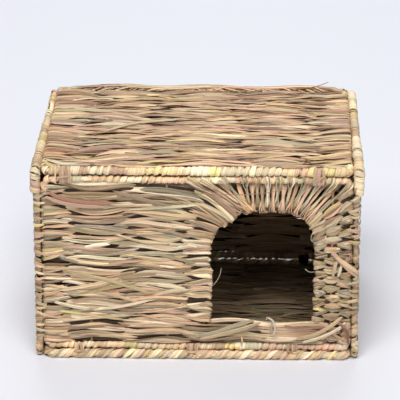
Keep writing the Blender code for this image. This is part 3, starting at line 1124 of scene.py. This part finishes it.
WEAVE = grass_material("woven_grass", 0.54, 1.40, 0.55, 0.4)
BINDING = grass_material("wound_grass", 0.70, 1.34, 0.52, 0.25)
LASHING = grass_material("tied_grass", 0.66, 1.20, 0.6, 0.3)
STEEL = steel_material()
CORD = cord_material()
for node_name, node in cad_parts.items():
    if node_name.endswith("_wire"):
        node.data.materials[0] = STEEL
    elif "_warp_" in node_name:
        node.data.materials[0] = CORD

X, Y, Z = np.eye(3)
FLOOR = Panel("floor", X, Y, Z)
FRONT = Panel("front", X, Z, -Y)
BACK = Panel("back", -X, Z, Y)
ROOF = Panel("roof", X, Y, Z)
LEFT = Panel("left_side", -Y, Z, -X)
RIGHT = Panel("right_side", Y, Z, X)
ROOF.notches = [middle_of(n)[0] - ROOF.origin[0] for n in nodes_like("front_roof_lashing")]

for panel, seed, mix, sway, stray, bright in (
    # The floor's strands are half as bright as the others': painted shade of the dim inside of the house
    (FLOOR, 21, FRONT_MIX, 1.0, 900, (0.32, 0.68)),
    (BACK, 22, FRONT_MIX, 0.7, 900, (0.64, 1.36)),
    (ROOF, 23, ROOF_MIX, 1.25, 1500, (0.60, 1.30)),
    (LEFT, 24, FRONT_MIX, 1.0, 900, (0.64, 1.36)),
    (RIGHT, 25, FRONT_MIX, 1.0, 900, (0.64, 1.36)),
):
    slot = "roof_weave" if panel is ROOF else "grass_weave"
    mat = weave_mat(panel, seed, mix, sway, stray, bright)
    mat.build(f"{panel.name}_weft", WEAVE, slot, panel.name, f"{panel.name}_weave")
weave_front().build("front_weft", WEAVE, "grass_weave", "front", "front_weave")
weave_fan().build("front_doorway_weft", WEAVE, "grass_weave", "front")

rng = np.random.default_rng(31)
back_spans = [(u, u + rng.uniform(0.07, 0.16)) for u in np.linspace(-0.178, 0.08, 44)]
back_spans = [(a, min(b, 0.178)) for a, b in back_spans]
edge_cover(ROOF, 32, ROOF_MIX, 1, back_spans).build("roof_back_edge_strands", WEAVE, "roof_weave", "roof")
front_spans = [(-0.176, -0.118), (-0.150, -0.060), (-0.100, -0.038), (-0.045, 0.030)]
front_spans += [(0.095, 0.133), (0.151, 0.174)]
edge_cover(ROOF, 33, ROOF_MIX, 0, front_spans).build("roof_front_edge_strands", WEAVE, "roof_weave", "roof")

edge_loops(LEFT, 1, 34, [(0.030, 0.214)])
edge_loops(RIGHT, -1, 35, [(0.062, 0.100), (0.152, 0.214)])


def rod_shape(panel, which):
    """The radius of a wound rod at each end, how far each end goes round its corner, and its shifts."""
    if panel is ROOF and which == 0:
        return (THICK_ROD_R, THICK_ROD_R), (ROD_END, ROD_END), ((0, 0.0002), (0, 0.0002))
    if panel is FRONT and which == 1:
        return (THIN_ROD_R, THIN_ROD_R), (ROD_END, ROD_END), ((0, 0.0004), (0, 0.0004))
    if panel is FRONT or (panel in (LEFT, RIGHT) and which == 0):
        return (THIN_ROD_R, THIN_ROD_R), (ROD_END, ROD_END), ((0, 0), (0, 0))
    if panel is FLOOR and which == 0:
        return (FLOOR_ROD_R, FLOOR_ROD_R), (ROD_END, ROD_END), ((-0.0026, 0.0004), (-0.0026, 0.0004))
    if panel is LEFT and which == 1:
        return (0.0042, 0.0063), (ROD_END, LONG_ROD_END), ((-0.0030, -0.0020), (0.0, 0.0010))
    if panel is RIGHT and which == 1:
        return (0.0064, 0.0048), (LONG_ROD_END, ROD_END), ((0.0, 0.0014), (-0.0010, -0.0010))
    return (ROD_R, ROD_R), (ROD_END, ROD_END), ((0, 0), (0, 0))


for number, panel in enumerate((FLOOR, FRONT, BACK, ROOF, LEFT, RIGHT)):
    for which, edge in enumerate(("front", "back") if panel in (FLOOR, ROOF) else ("bottom", "top")):
        radii, beyond, shifts = rod_shape(panel, which)
        slanted = panel is FLOOR
        leaf_w = (0.0030, 0.0060) if slanted else (0.0060, 0.0085)
        pitch = 0.026 if slanted else 0.0074
        starts = 5 if slanted else 1
        bind_edge(panel, which, edge, 40 + 2 * number + which, radii, leaf_w, pitch, starts, beyond, shifts)

# Body, side of the knot, radius of the turns, and how far they may stand out of the CAD lashing
LASHINGS = {
    "floor_front_lashing": ("floor", -Y, 0.0066, ((0.006, 0.006, 0), (0.006, 0, 0))),
    "front_roof_lashing": ("front", -Y, 0.0066, ((0.006, 0.006, 0), (0.006, 0, 0.0014))),
    "back_floor_lashing": ("back", Y, 0.0059, ((0.006, 0, 0), (0.006, 0.005, 0))),
    "roof_back_lashing": ("roof", Y, 0.0059, ((0.006, 0, 0), (0.006, 0.005, 0.002))),
    "floor_left_lashing": ("floor", -Z, 0.0051, ((0.0006, 0.004, 0), (0, 0.004, 0.0006))),
    "floor_right_lashing": ("floor", -Z, 0.0051, ((0, 0.004, 0), (0.0006, 0.004, 0.0006))),
    "corner_tie": ("front", -Y, 0.0054, ((0, 0.005, 0.004), (0.0003, 0, 0.004))),
}
for prefix, (body, knot_way, winding, spare) in LASHINGS.items():
    for number, node_name in enumerate(nodes_like(prefix)):
        spread = 1.7 if node_name == "front_roof_lashing_left" else 1.0
        lashing(node_name, body, 80 + 7 * number + len(prefix), knot_way, winding, np.array(spare), spread)

# Loose ends on the outside of the front and the roof: width, thickness, colour and route, in millimetres.
# A route is measured from the face of the front's mat, or from the top of the roof.
FRONT_ENDS = [
    # Ties and crossing strands on the sill
    (2.4, 1.1, "cream", [(82, 4, 50), (84, -2, 55), (90, -5, 52), (93, -5, 41), (90, -3, 32)]),
    (2.0, 1.0, "grey_green", [(87, 3, 52), (89, -3, 50), (88, -5, 40), (87, -3, 33)]),
    (2.0, 1.0, "straw", [(53, -4, 31), (54, -6, 26), (53, -5, 19)]),
    (6.2, 1.6, "grey_green", [(-2, -3, 30), (22, -4, 36), (45, -4, 45), (68, -1, 51)]),
    (5.0, 1.5, "straw", [(4, -3, 27), (30, -4, 34), (56, -4, 42), (76, -2, 49)]),
    (5.2, 1.6, "straw", [(118, -3, 28), (138, -5, 34), (158, -5, 46), (172, -2, 57)]),
    (4.6, 1.5, "cream", [(126, -3, 24), (146, -5, 31), (166, -4, 41), (176, -2, 50)]),
    (4.8, 1.4, "rose_brown", [(104, -3, 45), (122, -4, 42), (146, -4, 44), (170, -3, 38)]),
    # Loose fibres at the doorway
    (0.6, 0.6, "cream", [(16, -2, 93), (22, -4, 100), (27, -3, 109), (29, -1, 118)]),
    (0.8, 0.7, "cream", [(141, -1, 166), (135, -4, 163), (134, -3, 155), (139, 0, 150)]),
    (0.6, 0.6, "cream", [(127, 1, 117), (132, -1, 114), (139, -1, 114)]),
    # Curled ends at the lower right corner
    (2.4, 1.2, "rose_brown", [(164, -3, 50), (174, -5, 46), (178, -5, 34), (172, -4, 26)]),
    (3.0, 1.2, "purple", [(168, -3, 48), (178, -6, 40), (179, -5, 28), (181, -4, 22)]),
    (3.6, 1.2, "tan", [(160, -3, 36), (170, -6, 31), (181, -4, 26)]),
    # A thread along the top rod, and strands that leave the upper left corner
    (1.0, 0.8, "rose_brown", [(4, -6, 213.5), (40, -6.5, 212.5), (75, -7, 214.5), (108, -6, 220.5)]),
    (5.8, 1.6, "rose_brown", [(-172, -4, 212), (-158, -6, 206), (-132, -5, 200), (-98, -3, 199)]),
    (5.4, 1.6, "pink_tan", [(-176, -4, 207), (-160, -6, 201), (-136, -5, 196), (-108, -3, 194)]),
]
# The upper corner tie's folded strands and thin loops. They leave the front when its ties are undone, so
# they ride on the right side panel.
TIE_ENDS = [
    (6.2, 1.6, "pink_tan", [(158, 0, 139), (168, -5, 130), (180, -8, 118), (187, -7, 111)]),
    (5.6, 1.6, "straw", [(187, -6, 112), (187, -9, 118), (178, -8, 124), (164, -4, 134)]),
    (4.0, 1.3, "straw", [(164, -3, 128), (161, -5, 118), (160, -3, 107)]),
    (3.6, 1.3, "cream", [(170, -3, 125), (168, -4, 116), (166, -2, 108)]),
    (1.1, 0.9, "tan", [(172, -2, 136), (180, -5, 137), (186, -5, 128), (187, -4, 120)]),
    (1.0, 0.8, "brown", [(168, -2, 139), (178, -5, 143), (183, -5, 135), (180, -4, 126)]),
]
ROOF_ENDS = [
    (6.0, 2.6, "purple", [(124, -128, 1), (129, -131, 4), (133, -134, 3)]),
    (3.0, 2.0, "brown", [(126, -126, 1), (128, -130, 6), (130, -135, 4)]),
    (5.0, 1.4, "cream", [(-176, -122, 1), (-168, -132, 3), (-156, -137, 2), (-130, -134, 1)]),
    (4.8, 1.4, "yellow", [(-178, -128, 0), (-174, -138, 2), (-164, -143, -1), (-150, -141, 1)]),
    (4.4, 1.3, "yellow", [(-70, -132, 1), (-45, -130, 3), (-18, -126, 1)]),
    (1.0, 0.8, "brown", [(110, 130, 1), (140, 136, 4), (158, 140, 9)]),
    (5.0, 1.4, "straw", [(-110, -20, 1), (-80, 0, 3), (-50, 12, 2), (-30, 18, 1)]),
]
front_face = np.array([0.0, float(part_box("front_weave")[0][1]), 0.0])
roof_top = np.array([0.0, 0.0, CAD_BOX[1][2]])
loose_strands("front_loose_ends", "front", 61, front_face, -Y, FRONT_ENDS)
loose_strands("right_side_tie_ends", "right_side", 63, front_face, -Y, TIE_ENDS)
loose_strands("roof_loose_ends", "roof", 62, roof_top, Z, ROOF_ENDS)
